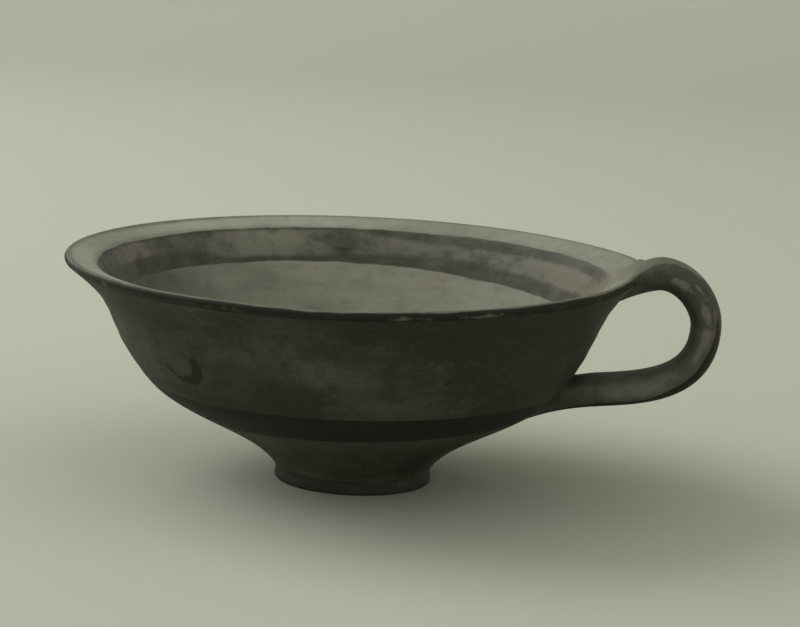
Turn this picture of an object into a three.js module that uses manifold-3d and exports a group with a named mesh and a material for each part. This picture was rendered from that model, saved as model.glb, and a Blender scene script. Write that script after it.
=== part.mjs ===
import * as THREE from 'three';
import { mergeVertices } from 'three/addons/utils/BufferGeometryUtils.js';
import Module from 'manifold-3d';

const wasm = await Module();
wasm.setup();

// A one-handled bowl of fired clay: a thrown bowl on a low ring foot, with one strap handle
// that springs from the lip, rises above it and comes back to the wall low down.
// Millimetres, Z up. Outlines are drawn as a radius from the bowl's axis and a height.

// Bowl, outside
const rimDiameter = 160;
const rimHeight = 62.3;
const kneeDiameter = 115;
const kneeHeight = 28.4;
const waistDiameter = 42.9;
const waistAngle = 61;
const kneeAngle = 51.6;
const lipAngle = 40;

// Bowl, inside and lip
const wallThickness = 4.4;
const floorThickness = 5.5;
const lipEdgeThickness = 2.3;
const lipFaceWidth = 9.6;
const lipFaceAngle = 16;
const shoulderRounding = 3.5;

// Foot, a turned ring under the waist
const footDiameter = 43.8;
const footHeight = 3;
const footRingWidth = 6;
const footEdgeRounding = 0.8;
const footFilletSize = 2.2;

// Strap handle
const strapWidth = 17.3;
const strapThickness = 8.5;
const strapSquareness = 2.5;
const handleProjection = 20;
const handleRise = 5.2;
const crestOverhang = 2.5;
const bendHeight = 49.9;
const upperRootInset = 9.8;
const upperRootDrop = 5.6;
const upperRootAngle = 36;
const upperRootThickness = 5.2;
const upperRootTaper = 13;
const lowerRootHeight = 28.9;
const lowerRunAngle = 10.2;
const lowerRootDepth = 14;
const rootParing = 1.5;
const rootParingLength = 6;

// Luting clay, pressed round the handle's two roots and drawn out onto the bowl. The reaches are
// measured on the bowl's surface from the middle of each root.
const lutingEdge = 0.3;
const saddleStart = 15.5;
const saddleReachFront = 22;
const saddleReachBack = 15;
const saddleReachInside = 8.5;
const saddleReachUnder = 10.5;
const saddleNarrowing = 3;
const collarLength = 9;
const collarReachSide = 12.5;
const collarReachUp = 7.4;
const collarReachDown = 12.5;

// The thin gap kept between pieces that were luted together with slip
const lutingGap = 0.3;

// Shares of a span that set how full each curve is
const undersidePull = [0.28, 0.26];
const wallPull = [0.59, 0.5];
const floorPull = [0.35, 0.1];
const innerWallPull = 0.45;
const shoulderPull = 1.2;
const crestPull = 0.38;
const bendPull = [0.59, 0.41];
const loopPull = [0.965, 0.4];
const lutingPull = [0.45, 0.4];
const lutingInnerRing = 0.85;

// Facets round the axis, along the bowl's curves, round the strap and along it, and along the
// luting, and the finer steps that places on the bowl are measured with
const turns = 64;
const undersideSteps = 9;
const wallSteps = 11;
const innerWallSteps = 9;
const floorSteps = 7;
const strapSides = 24;
const strapStations = 44;
const lutingRows = 9;
const fineSteps = 60;

const rimRadius = rimDiameter / 2;
const footRadius = footDiameter / 2;
const baseHeight = footHeight + lutingGap;

// Directions in degrees in the plane of an outline, with the axis on the left
const outwards = 0;
const upwards = 90;
const inwards = 180;
const downwards = -90;

function direction(degrees) {
  const angle = THREE.MathUtils.degToRad(degrees);
  return new THREE.Vector2(Math.cos(angle), Math.sin(angle));
}

function offset(point, along, distance) {
  return point.clone().addScaledVector(along, distance);
}

// A smooth curve that leaves one point along one slope and arrives at another along its own
function curveBetween(start, startDirection, startPull, end, endDirection, endPull) {
  const span = start.distanceTo(end);
  const first = offset(start, startDirection, span * startPull);
  const second = offset(end, endDirection, -span * endPull);
  return new THREE.CubicBezierCurve(start, first, second, end);
}

// The left-hand normal of a direction in the plane of an outline
function leftOf(along) {
  return new THREE.Vector2(-along.y, along.x);
}

// Outside of the bowl: the wide flaring underside, then the wall, up to the edge of the lip
const waist = new THREE.Vector2(waistDiameter / 2, baseHeight);
const knee = new THREE.Vector2(kneeDiameter / 2, kneeHeight);
const lipRounding = lipEdgeThickness / 2;
const lipCentre = new THREE.Vector2(rimRadius - lipRounding, rimHeight - lipRounding);
const lipUnderside = offset(lipCentre, leftOf(direction(lipAngle)), -lipRounding);

const underside = curveBetween(
  waist, direction(waistAngle), undersidePull[0], knee, direction(kneeAngle), undersidePull[1]);
const wall = curveBetween(
  knee, direction(kneeAngle), wallPull[0], lipUnderside, direction(lipAngle), wallPull[1]);

// Inside of the bowl: the sloping face of the lip, the shoulder, the wall and the floor
const lipFace = direction(lipFaceAngle);
const lipTop = offset(lipCentre, leftOf(lipFace), lipRounding);
const shoulder = offset(lipTop, lipFace, -lipFaceWidth);
const shoulderStart = offset(shoulder, lipFace, shoulderRounding);
const innerKnee = offset(knee, leftOf(direction(kneeAngle)), wallThickness);
const floorCentre = new THREE.Vector2(0, baseHeight + floorThickness);
const innerWallSpan = shoulder.distanceTo(innerKnee);

const innerWall = new THREE.CubicBezierCurve(
  shoulderStart,
  offset(shoulderStart, lipFace, -shoulderRounding * shoulderPull),
  offset(innerKnee, direction(kneeAngle), innerWallSpan * innerWallPull),
  innerKnee);
const floor = curveBetween(
  innerKnee, direction(kneeAngle + inwards), floorPull[1],
  floorCentre, direction(inwards), floorPull[0]);

// Points on a round edge, between two directions from its centre
function arc(centre, radius, fromDegrees, toDegrees, steps) {
  const points = [];
  for (let i = 0; i <= steps; i += 1) {
    const degrees = THREE.MathUtils.lerp(fromDegrees, toDegrees, i / steps);
    points.push(offset(centre, direction(degrees), radius));
  }
  return points;
}

// From the lip's underside out to its edge, and from its edge over onto its sloping face,
// grown by a clearance
const underLip = (clearance = 0) => arc(
  lipCentre, lipRounding + clearance, lipAngle + downwards, outwards, 2);
const overLip = (clearance = 0) => arc(
  lipCentre, lipRounding + clearance, outwards, lipFaceAngle + upwards, 4);

// Points along a curve, each moved out from the wall by a clearance
function sample(curve, steps, clearance = 0) {
  const points = [];
  for (let i = 0; i <= steps; i += 1) {
    const t = i / steps;
    points.push(offset(curve.getPoint(t), leftOf(curve.getTangent(t)), -clearance));
  }
  return points;
}

// A closed mesh with shared corners and no collapsed triangles
function closed(geometry) {
  geometry.deleteAttribute('normal');
  geometry.deleteAttribute('uv');
  const merged = mergeVertices(geometry, 1e-5);
  const corners = merged.index.array;
  const kept = [];
  for (let i = 0; i < corners.length; i += 3) {
    const [a, b, c] = corners.slice(i, i + 3);
    if (a !== b && b !== c && c !== a) kept.push(a, b, c);
  }
  merged.setIndex(kept);
  return merged;
}

// A solid of revolution about Z; its outline runs anticlockwise with the axis on the left
function turned(outline) {
  const geometry = new THREE.LatheGeometry(outline, turns);
  geometry.rotateX(Math.PI / 2);
  return closed(geometry);
}

function solid(geometry) {
  return new wasm.Manifold(new wasm.Mesh({
    numProp: 3,
    vertProperties: new Float32Array(geometry.attributes.position.array),
    triVerts: new Uint32Array(geometry.index.array),
  }));
}

function geometryOf(manifold) {
  const mesh = manifold.getMesh();
  const geometry = new THREE.BufferGeometry();
  geometry.setAttribute('position', new THREE.BufferAttribute(mesh.vertProperties, 3));
  geometry.setIndex(new THREE.BufferAttribute(mesh.triVerts, 1));
  return geometry;
}

// The outside of the bowl's outline, from its waist up to the edge of its lip, grown by a clearance
const outside = (clearance = 0) => [
  ...sample(underside, undersideSteps, clearance),
  ...sample(wall, wallSteps, clearance).slice(1, -1),
  ...underLip(clearance),
];

// The thrown bowl, from the middle of its base round to the middle of its floor
function bowlBody(clearance = 0) {
  return turned([
    new THREE.Vector2(0, baseHeight - clearance),
    new THREE.Vector2(waist.x, baseHeight - clearance),
    ...outside(clearance),
    ...overLip(clearance).slice(1),
    ...sample(innerWall, innerWallSteps, clearance),
    ...sample(floor, floorSteps, clearance).slice(1, -1),
    offset(floorCentre, direction(upwards), clearance),
  ]);
}

// What the handle is fitted to: the bowl's outside, grown by a gap, solid to the axis,
// with a cylinder standing on the edge of the lip
function handleSeat(gap) {
  const top = rimHeight + handleRise + strapThickness;
  return solid(turned([
    new THREE.Vector2(0, 0),
    new THREE.Vector2(waist.x + gap, 0),
    ...outside(gap),
    new THREE.Vector2(rimRadius + gap, top),
    new THREE.Vector2(0, top),
  ]));
}

// The bowl's outline from its waist over the lip to the inner knee, and the distance along it
// from the outermost point of the lip: below nothing outside, above it inside
const skin = [
  ...sample(underside, fineSteps),
  ...sample(wall, fineSteps).slice(1, -1),
  ...underLip(),
  ...overLip().slice(1),
  ...sample(innerWall, fineSteps),
];
const skinPlaces = [0];
for (let i = 1; i < skin.length; i += 1) {
  skinPlaces.push(skinPlaces[i - 1] + skin[i].distanceTo(skin[i - 1]));
}
const edgePlace = skinPlaces[skin.findIndex((point) => Math.abs(point.x - rimRadius) < 1e-6)];

// A point on the outline, as a radius and a height, at a place along it
function skinPoint(place) {
  const sought = place + edgePlace;
  const above = Math.max(1, skinPlaces.findIndex((each) => each >= sought));
  const share = (sought - skinPlaces[above - 1]) / (skinPlaces[above] - skinPlaces[above - 1]);
  return skin[above - 1].clone().lerp(skin[above], share);
}

// The place along the outline where the outside of the wall passes a height
function outsidePlaceAt(height) {
  const above = skin.findIndex((point) => point.y >= height);
  const share = (height - skin[above - 1].y) / (skin[above].y - skin[above - 1].y);
  return THREE.MathUtils.lerp(skinPlaces[above - 1], skinPlaces[above], share) - edgePlace;
}

// A point on the bowl's surface, at an angle round the axis and a place along its outline
function onBowl(azimuth, place) {
  const point = skinPoint(place);
  return new THREE.Vector3(point.x * Math.cos(azimuth), point.x * Math.sin(azimuth), point.y);
}

// Middle line of the strap: out of the lip, over the crest, round the bend and back to the wall
const upperRoot = new THREE.Vector2(rimRadius - upperRootInset, rimHeight - upperRootDrop);
const crest = new THREE.Vector2(
  rimRadius + crestOverhang, rimHeight + handleRise - strapThickness / 2);
const bend = new THREE.Vector2(rimRadius + handleProjection - strapThickness / 2, bendHeight);
const lowerRootPlace = outsidePlaceAt(lowerRootHeight);
const lowerRoot = skinPoint(lowerRootPlace);
const intoWall = direction(inwards + lowerRunAngle);
const lowerEnd = offset(lowerRoot, intoWall, lowerRootDepth);

const handleLine = new THREE.CurvePath();
handleLine.add(curveBetween(
  upperRoot, direction(upperRootAngle), crestPull, crest, direction(outwards), crestPull));
handleLine.add(new THREE.CubicBezierCurve(
  crest,
  offset(crest, direction(outwards), (bend.x - crest.x) * bendPull[0]),
  offset(bend, direction(upwards), (crest.y - bend.y) * bendPull[1]),
  bend));
handleLine.add(new THREE.CubicBezierCurve(
  bend,
  offset(bend, direction(downwards), (bend.y - lowerRoot.y) * loopPull[0]),
  offset(lowerRoot, intoWall, -(bend.x - lowerRoot.x) * loopPull[1]),
  lowerRoot));
handleLine.add(new THREE.LineCurve(lowerRoot, lowerEnd));
const handleLength = handleLine.getLength();
const lowerRootAt = handleLength - lowerRootDepth;

// A point on the strap's surface: a rounded oblong section, square to the middle line, where a
// quarter turn is the outer face of the loop. It is pared all round where the luting covers it,
// and grown by a clearance.
function strapPoint(distance, turn, grown = 0) {
  const centre = handleLine.getPointAt(distance / handleLength);
  const out = leftOf(handleLine.getTangentAt(distance / handleLength));
  const taper = THREE.MathUtils.smoothstep(distance, 0, upperRootTaper);
  const thickness = THREE.MathUtils.lerp(upperRootThickness, strapThickness, taper);
  const covered = Math.max(saddleStart - distance, distance - lowerRootAt + collarLength);
  const added = grown - rootParing * THREE.MathUtils.smoothstep(covered, 0, rootParingLength);
  const across = Math.sign(Math.cos(turn)) * Math.abs(Math.cos(turn)) ** (2 / strapSquareness);
  const up = Math.sign(Math.sin(turn)) * Math.abs(Math.sin(turn)) ** (2 / strapSquareness);
  const point = offset(centre, out, up * (thickness / 2 + added));
  return new THREE.Vector3(point.x, across * (strapWidth / 2 + added), point.y);
}

// A solid skinned over rings of points and closed by a fan at each end. Seen from the first
// ring, the points run clockwise.
function skinned(rings, firstMiddle, lastMiddle) {
  const sides = rings[0].length;
  const last = (rings.length - 1) * sides;
  const positions = [...rings.flat(), firstMiddle, lastMiddle].flatMap((point) => point.toArray());
  const firstAt = rings.length * sides;
  const lastAt = firstAt + 1;
  const corners = [];
  for (let j = 0; j < sides; j += 1) {
    const next = (j + 1) % sides;
    for (let row = 0; row < last; row += sides) {
      corners.push(row + j, row + next, row + sides + j);
      corners.push(row + next, row + sides + next, row + sides + j);
    }
    corners.push(firstAt, next, j, lastAt, last + j, last + next);
  }
  const geometry = new THREE.BufferGeometry();
  geometry.setAttribute('position', new THREE.Float32BufferAttribute(positions, 3));
  geometry.setIndex(corners);
  return solid(geometry);
}

const strapTurns = [...Array(strapSides).keys()].map((j) => (2 * Math.PI * j) / strapSides);

function middleOf(ring) {
  const sum = ring.reduce((total, point) => total.add(point), new THREE.Vector3());
  return sum.divideScalar(ring.length);
}

// The whole strap before it is fitted, grown by a clearance
function strapSolid(grown = 0) {
  const rings = [];
  for (let i = 0; i <= strapStations; i += 1) {
    const distance = (handleLength * i) / strapStations;
    rings.push(strapTurns.map((turn) => strapPoint(distance, turn, grown)));
  }
  return skinned(rings, middleOf(rings[0]), middleOf(rings[strapStations]));
}

// The strap itself, cut to sit against the wall and the edge of the lip
function strapHandle() {
  return geometryOf(strapSolid().subtract(handleSeat(lutingGap)));
}

// The footprint of a root on the bowl's surface: a ring that reaches further to some sides of
// its middle than to others, at a share of its full size. Below the strap it may be narrowed
// towards its two ends, by a power of the sine.
function footprint(root, turn, share) {
  const across = Math.cos(turn) > 0 ? root.back : root.front;
  const along = Math.sin(turn) > 0
    ? root.outer * Math.sin(turn)
    : -root.inner * Math.abs(Math.sin(turn)) ** root.narrowing;
  return onBowl(
    (share * across * Math.cos(turn)) / root.radius,
    root.place + share * along);
}

// Luting clay round a root of the strap. All round the strap, a curve leaves its surface along
// its length and meets the bowl's surface along that surface, on the edge of the footprint.
// The strap and the bowl are then cut out of it.
function luting(root) {
  const along = handleLine.getTangentAt(root.start / handleLength).multiplyScalar(root.towards);
  const leaving = new THREE.Vector3(along.x, 0, along.y);
  const curves = strapTurns.map((turn) => {
    const from = strapPoint(root.start, turn, lutingGap + lutingEdge);
    const to = footprint(root, turn, 1);
    const arriving = footprint(root, turn, lutingInnerRing).sub(to).normalize();
    const span = from.distanceTo(to);
    return new THREE.CubicBezierCurve3(
      from,
      from.clone().addScaledVector(leaving, span * lutingPull[0]),
      to.clone().addScaledVector(arriving, span * lutingPull[1] * Math.abs(Math.cos(turn))),
      to);
  });
  const inWall = footprint(root, 0, 0);
  inWall.x -= wallThickness / 2;
  const rings = [];
  for (let i = 0; i <= lutingRows; i += 1) {
    rings.push(curves.map((curve) => curve.getPoint(i / lutingRows)));
  }
  rings.push(rings[lutingRows].map((point) => point.clone().lerp(inWall, 1 - lutingInnerRing)));
  const ends = [middleOf(rings[0]), inWall];
  if (root.towards < 0) {
    rings.reverse();
    ends.reverse();
  }
  const strap = strapSolid(lutingGap).subtract(handleSeat(0));
  const bowlWall = solid(bowlBody(lutingGap));
  return geometryOf(skinned(rings, ...ends).subtract(strap).subtract(bowlWall));
}

// At the lip, a saddle that carries the strap's upper face down onto the lip's sloping face and
// runs out along the rim to both sides
const upperLuting = () => luting({
  start: saddleStart,
  towards: -1,
  radius: rimRadius,
  place: 0,
  front: saddleReachFront,
  back: saddleReachBack,
  outer: saddleReachInside,
  inner: saddleReachUnder,
  narrowing: saddleNarrowing,
});

// Low on the wall, a collar that is wiped down onto the wall below the strap
const lowerLuting = () => luting({
  start: lowerRootAt - collarLength,
  towards: 1,
  radius: lowerRoot.x,
  place: lowerRootPlace,
  front: collarReachSide,
  back: collarReachSide,
  outer: -collarReachDown,
  inner: -collarReachUp,
  narrowing: 1,
});

// The ring foot, flat where it stands, with softened edges
function footRing() {
  const inside = footRadius - footRingWidth;
  const lowEdge = new THREE.Vector2(footRadius - footEdgeRounding, footEdgeRounding);
  const highEdge = new THREE.Vector2(lowEdge.x, footHeight - footEdgeRounding);
  return turned([
    new THREE.Vector2(inside, 0),
    ...arc(lowEdge, footEdgeRounding, downwards, outwards, 2),
    ...arc(highEdge, footEdgeRounding, outwards, upwards, 2),
    new THREE.Vector2(inside, footHeight),
    new THREE.Vector2(inside, 0),
  ]);
}

// A fillet of slip in the corner between the foot's inner side and the bowl's base
function footLuting() {
  const corner = new THREE.Vector2(footRadius - footRingWidth - lutingGap, footHeight);
  const low = new THREE.Vector2(corner.x, corner.y - footFilletSize);
  const inward = new THREE.Vector2(corner.x - footFilletSize, corner.y);
  const hollow = new THREE.Vector2(corner.x - footFilletSize / 3, corner.y - footFilletSize / 3);
  const face = new THREE.QuadraticBezierCurve(inward, hollow, low);
  return turned([corner, ...face.getPoints(3), corner.clone()]);
}

// Fired clay, bare or under dark slip
function clay(color, roughness) {
  return new THREE.MeshStandardMaterial({ color, roughness, metalness: 0 });
}

function piece(name, geometry, material) {
  const mesh = new THREE.Mesh(geometry, material);
  mesh.name = name;
  return mesh;
}

const bowl = new THREE.Group();
bowl.add(piece('bowl_body', bowlBody(), clay('#5d5c50', 0.75)));
bowl.add(piece('foot_ring', footRing(), clay('#33322b', 0.7)));
bowl.add(piece('foot_luting', footLuting(), clay('#6f6d5d', 0.85)));
bowl.add(piece('strap_handle', strapHandle(), clay('#3a3931', 0.65)));
bowl.add(piece('upper_luting', upperLuting(), clay('#7d7c6a', 0.8)));
bowl.add(piece('lower_luting', lowerLuting(), clay('#2f2e28', 0.7)));

// The origin is under the middle of the whole, so the bowl's axis stands to one side of it
bowl.position.x = -handleProjection / 2;

export default bowl;
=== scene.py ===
import math

import bmesh
import bpy
from mathutils import Matrix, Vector
import numpy as np


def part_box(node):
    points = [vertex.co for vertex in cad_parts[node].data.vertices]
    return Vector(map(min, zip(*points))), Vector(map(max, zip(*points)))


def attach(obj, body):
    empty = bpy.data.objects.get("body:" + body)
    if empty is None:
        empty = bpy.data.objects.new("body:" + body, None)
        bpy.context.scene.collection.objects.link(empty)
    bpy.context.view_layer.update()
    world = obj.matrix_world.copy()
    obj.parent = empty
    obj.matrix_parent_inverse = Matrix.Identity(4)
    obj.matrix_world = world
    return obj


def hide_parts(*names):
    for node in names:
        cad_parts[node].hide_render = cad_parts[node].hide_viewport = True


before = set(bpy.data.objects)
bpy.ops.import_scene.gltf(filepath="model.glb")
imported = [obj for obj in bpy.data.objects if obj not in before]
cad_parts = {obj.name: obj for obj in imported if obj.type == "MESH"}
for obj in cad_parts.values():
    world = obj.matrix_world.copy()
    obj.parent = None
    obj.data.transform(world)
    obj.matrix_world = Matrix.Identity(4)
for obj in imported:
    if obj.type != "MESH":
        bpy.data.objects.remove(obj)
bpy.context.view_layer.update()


# The camera stands a little above the lip, about 0.74 m from the bowl's axis, and turned 7 degrees
# towards the side that the handle points to. It is turned a little clockwise round its own line
# of sight, and its long lens takes in a view 219 mm wide at that distance.
MM = 0.001
bowl_low, bowl_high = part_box("bowl_body")
AXIS_X = (bowl_low.x + bowl_high.x) / 2
VIEW_SIDE = math.radians(7.0)
CAMERA_DISTANCE = 0.7367
CAMERA_HEIGHT = 0.1799
CAMERA_PITCH = math.radians(10.20)
CAMERA_YAW = math.radians(0.87)
CAMERA_ROLL = math.radians(2.79)
LENS_MM = 121.05
SENSOR_MM = 36.0


def unit(v):
    """A vector divided by its own length."""
    v = np.asarray(v, float)
    return v / np.linalg.norm(v)


def place_camera():
    """Builds the camera from its line of sight: right and up are square to it, then both are
    turned by the roll."""
    heading = CAMERA_YAW - VIEW_SIDE
    level = np.array([math.sin(heading), math.cos(heading), 0.0])
    sight = unit(level * math.cos(CAMERA_PITCH) + np.array([0, 0, -math.sin(CAMERA_PITCH)]))
    right = np.array([math.cos(heading), -math.sin(heading), 0.0])
    up = np.cross(right, sight)
    turned_right = right * math.cos(CAMERA_ROLL) + up * math.sin(CAMERA_ROLL)
    turned_up = up * math.cos(CAMERA_ROLL) - right * math.sin(CAMERA_ROLL)
    data = bpy.data.cameras.new("camera")
    data.sensor_width = SENSOR_MM
    data.lens = LENS_MM
    camera = bpy.data.objects.new("camera", data)
    place = (AXIS_X + CAMERA_DISTANCE * math.sin(VIEW_SIDE),
             -CAMERA_DISTANCE * math.cos(VIEW_SIDE), CAMERA_HEIGHT)
    matrix = np.eye(4)
    matrix[:3, 0] = turned_right
    matrix[:3, 1] = turned_up
    matrix[:3, 2] = -sight
    matrix[:3, 3] = place
    camera.matrix_world = Matrix(matrix.tolist())
    bpy.context.scene.collection.objects.link(camera)
    bpy.context.scene.camera = camera


place_camera()


# The floor is a plain pale sheet that curves up into a backdrop behind the bowl.
# It is matt painted paper and takes only the bowl's soft shadow; the paper's tone grows lighter up
# the backdrop, and that lightening is painted light.
FLOOR_GREY = "#b5b6a8"
BACKDROP_GREY_PAINTED_LIGHT = "#dadbcb"
SHEET_HALF_WIDTH = 3.0
SHEET_FRONT = -2.4
SHEET_BEND_START = 1.2
SHEET_BEND_RADIUS = 0.8
SHEET_TOP = 3.2


def linear(hex_colour):
    """An sRGB hex colour as linear red, green, blue and one."""
    channels = [int(hex_colour[i:i + 2], 16) / 255 for i in (1, 3, 5)]
    return [c / 12.92 if c <= 0.04045 else ((c + 0.055) / 1.055) ** 2.4 for c in channels] + [1.0]


def add_node(tree, kind, links=(), **settings):
    """Adds a node, sets its properties and unlinked inputs, and links its inputs.
    links holds (input, output socket) pairs; a setting named in0, in1 ... sets that input."""
    made = tree.nodes.new(kind)
    for name, value in settings.items():
        if name.startswith("in") and name[2:].isdigit():
            made.inputs[int(name[2:])].default_value = value
        elif name == "inputs":
            for key, number in value.items():
                made.inputs[key].default_value = number
        elif name == "stops":
            ramp = made.color_ramp.elements
            while len(ramp) < len(value):
                ramp.new(0.5)
            for stop, (place, colour) in zip(ramp, value):
                stop.position = place
                stop.color = linear(colour) if isinstance(colour, str) else (colour,) * 3 + (1,)
        else:
            setattr(made, name, value)
    for name, output in links:
        tree.links.new(output, made.inputs[name])
    return made


def new_material(name):
    """A material with an empty node tree and its output."""
    material = bpy.data.materials.new(name)
    material.use_nodes = True
    material.node_tree.nodes.clear()
    return material, material.node_tree, add_node(material.node_tree, "ShaderNodeOutputMaterial")


def grid_mesh(name, points, close_u=False, close_v=False, flip=False):
    """A mesh of four-sided faces over a grid of points, whose rows and columns may close on
    themselves. points is an array of rows by columns by three, in metres."""
    rows, columns = points.shape[:2]
    index = np.arange(rows * columns).reshape(rows, columns)
    if close_u:
        index = np.vstack([index, index[:1]])
    if close_v:
        index = np.hstack([index, index[:, :1]])
    corners = [index[:-1, :-1], index[:-1, 1:], index[1:, 1:], index[1:, :-1]]
    if flip:
        corners = corners[::-1]
    faces = np.stack(corners, -1).reshape(-1, 4)
    mesh = bpy.data.meshes.new(name)
    mesh.vertices.add(rows * columns)
    mesh.vertices.foreach_set("co", points.reshape(-1).astype(np.float32))
    mesh.loops.add(faces.size)
    mesh.loops.foreach_set("vertex_index", faces.reshape(-1).astype(np.int32))
    mesh.polygons.add(len(faces))
    mesh.polygons.foreach_set("loop_start", np.arange(0, faces.size, 4, dtype=np.int32))
    mesh.polygons.foreach_set("use_smooth", np.ones(len(faces), bool))
    mesh.update(calc_edges=True)
    mesh.validate()
    piece = bpy.data.objects.new(name, mesh)
    bpy.context.scene.collection.objects.link(piece)
    return piece


def backdrop_sheet():
    """Floor and backdrop in one sheet: flat from the front to the bend, a quarter circle, then
    upright. The grid's second parameter runs across its width."""
    turn = np.linspace(0, math.pi / 2, 24)
    along = np.concatenate([[SHEET_FRONT], SHEET_BEND_START + SHEET_BEND_RADIUS * np.sin(turn),
                            [SHEET_BEND_START + SHEET_BEND_RADIUS]])
    height = np.concatenate([[0], SHEET_BEND_RADIUS * (1 - np.cos(turn)), [SHEET_TOP]])
    across = np.array([-SHEET_HALF_WIDTH, SHEET_HALF_WIDTH])
    points = np.empty((len(along), 2, 3))
    points[..., 0] = across
    points[..., 1] = along[:, None]
    points[..., 2] = height[:, None]
    return grid_mesh("backdrop", points, flip=True)


backdrop = backdrop_sheet()
paper, tree, output = new_material("painted_paper")
place = add_node(tree, "ShaderNodeTexCoord")
split = add_node(tree, "ShaderNodeSeparateXYZ", [(0, place.outputs["Object"])])
# The ramp from the floor's grey up to the lighter backdrop grey is painted light.
tone = add_node(tree, "ShaderNodeValToRGB", [(0, split.outputs["Z"])],
                stops=[(0.0, FLOOR_GREY), (0.6, BACKDROP_GREY_PAINTED_LIGHT)])
shader = add_node(tree, "ShaderNodeBsdfPrincipled", [("Base Color", tone.outputs[0])],
                  inputs={"Roughness": 0.9, "Specular IOR Level": 0.2})
tree.links.new(shader.outputs[0], output.inputs[0])
backdrop.data.materials.append(paper)


# The light is a bright even sky and one wide soft lamp, high on the left and a little behind,
# so the left of the bowl's outside is lighter and the left of its inside stands in soft shade.
SKY_COLOUR = "#fdfdf6"
SKY_STRENGTH = 0.70
LAMP_WATTS = 15.0
LAMP_SIZE = 1.2
LAMP_PLACE = (-1.15, 0.35, 1.05)
LAMP_AIM = (0.0, 0.0, 0.03)


def light_scene():
    """An even world and one square area lamp, aimed along the line from its place to its aim."""
    world = bpy.data.worlds.new("sky")
    world.use_nodes = True
    world.node_tree.nodes.clear()
    sky = add_node(world.node_tree, "ShaderNodeBackground",
                   inputs={"Color": linear(SKY_COLOUR), "Strength": SKY_STRENGTH})
    end = add_node(world.node_tree, "ShaderNodeOutputWorld")
    world.node_tree.links.new(sky.outputs[0], end.inputs[0])
    bpy.context.scene.world = world
    lamp = bpy.data.lights.new("soft_lamp", "AREA")
    lamp.energy = LAMP_WATTS
    lamp.size = LAMP_SIZE
    holder = bpy.data.objects.new("soft_lamp", lamp)
    back = unit(np.array(LAMP_PLACE) - np.array(LAMP_AIM))
    right = unit(np.cross([0, 0, 1], back))
    matrix = np.eye(4)
    matrix[:3, 0], matrix[:3, 1], matrix[:3, 2] = right, np.cross(back, right), back
    matrix[:3, 3] = LAMP_PLACE
    holder.matrix_world = Matrix(matrix.tolist())
    bpy.context.scene.collection.objects.link(holder)


light_scene()
bpy.context.scene.view_settings.view_transform = "Standard"


# The bowl is thrown on the wheel in one piece of fine clay: base, wide underside, rounded knee,
# steep wall and an everted lip. It dried a little out of true. Dark slip covers the outside and
# a band inside the lip, and the rest of the inside is bare clay.
RIM_RADIUS = (bowl_high.y - bowl_low.y) / 2 / MM
RIM_HEIGHT = bowl_high.z / MM
KNEE = (57.5, 28.4)
WAIST = (21.45, bowl_low.z / MM)
WAIST_SLOPE = 61.0
KNEE_SLOPE = 51.6
LIP_SLOPE = 40.0
WALL = 4.4
FLOOR = 5.5
UNDERSIDE_PULLS = (0.28, 0.26)
WALL_PULLS = (0.59, 0.5)
INNER_WALL_PULLS = (1.2, 0.45)
FLOOR_PULLS = (0.1, 0.35)
LONG_STRETCH = 46
POLE_RADIUS = 0.02
LIP_ROUNDING = 1.15
LIP_FACE_WIDTH = 9.6
LIP_FACE_SLOPE = 16.0
SHOULDER_ROUNDING = 3.5
RIM_LEAN = np.array([-2.14, -0.26])
RIM_TILT = np.array([0.0068, 0.0061])
# Where the lip rises or sags: height in mm, azimuth and breadth in degrees
LIP_WAVES = ((2.2, -1, 24), (0.5, -38, 18), (-0.5, -88, 16))
LIP_WAVES_FROM_RADIUS = 68.0
DENT_DEPTH = 0.85
DENT_AZIMUTH, DENT_BREADTH = 185, 45
DENT_HEIGHT, DENT_REACH = 50, 9
# The potter's finger rings: share, length in mm along the outline, sway in radians, sways a turn
WHEEL_WAVES = ((1.0, 0.9, 0, 1), (0.7, 1.7, 2, 1), (0.8, 3.1, 1, 2))
WHEEL_MARK = 0.07
WHEEL_COLUMNS = 360


def slope(degrees):
    """A direction in the plane of an outline, as (radius, height)."""
    return np.array([math.cos(math.radians(degrees)), math.sin(math.radians(degrees))])


def left_of(direction):
    """The direction turned a quarter anticlockwise."""
    return np.array([-direction[1], direction[0]])


def bezier(a, b, c, d, count):
    """Points on a cubic curve: each corner weighted by its share of (t + 1 - t) cubed."""
    t = np.linspace(0, 1, count)[:, None]
    a, b, c, d = (np.asarray(p, float) for p in (a, b, c, d))
    return (1 - t) ** 3 * a + 3 * (1 - t) ** 2 * t * b + 3 * (1 - t) * t * t * c + t ** 3 * d


def curve_between(start, start_slope, start_share, end, end_slope, end_share, count):
    """A cubic curve that leaves and arrives along given slopes, by shares of its span."""
    start, end = np.asarray(start, float), np.asarray(end, float)
    span = np.linalg.norm(end - start)
    return bezier(start, start + slope(start_slope) * span * start_share,
                  end - slope(end_slope) * span * end_share, end, count)


def arc(centre, radius, first, last, count):
    """Points on a circle between two directions in degrees."""
    angle = np.radians(np.linspace(first, last, count))[:, None]
    return np.asarray(centre) + radius * np.hstack([np.cos(angle), np.sin(angle)])


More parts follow.
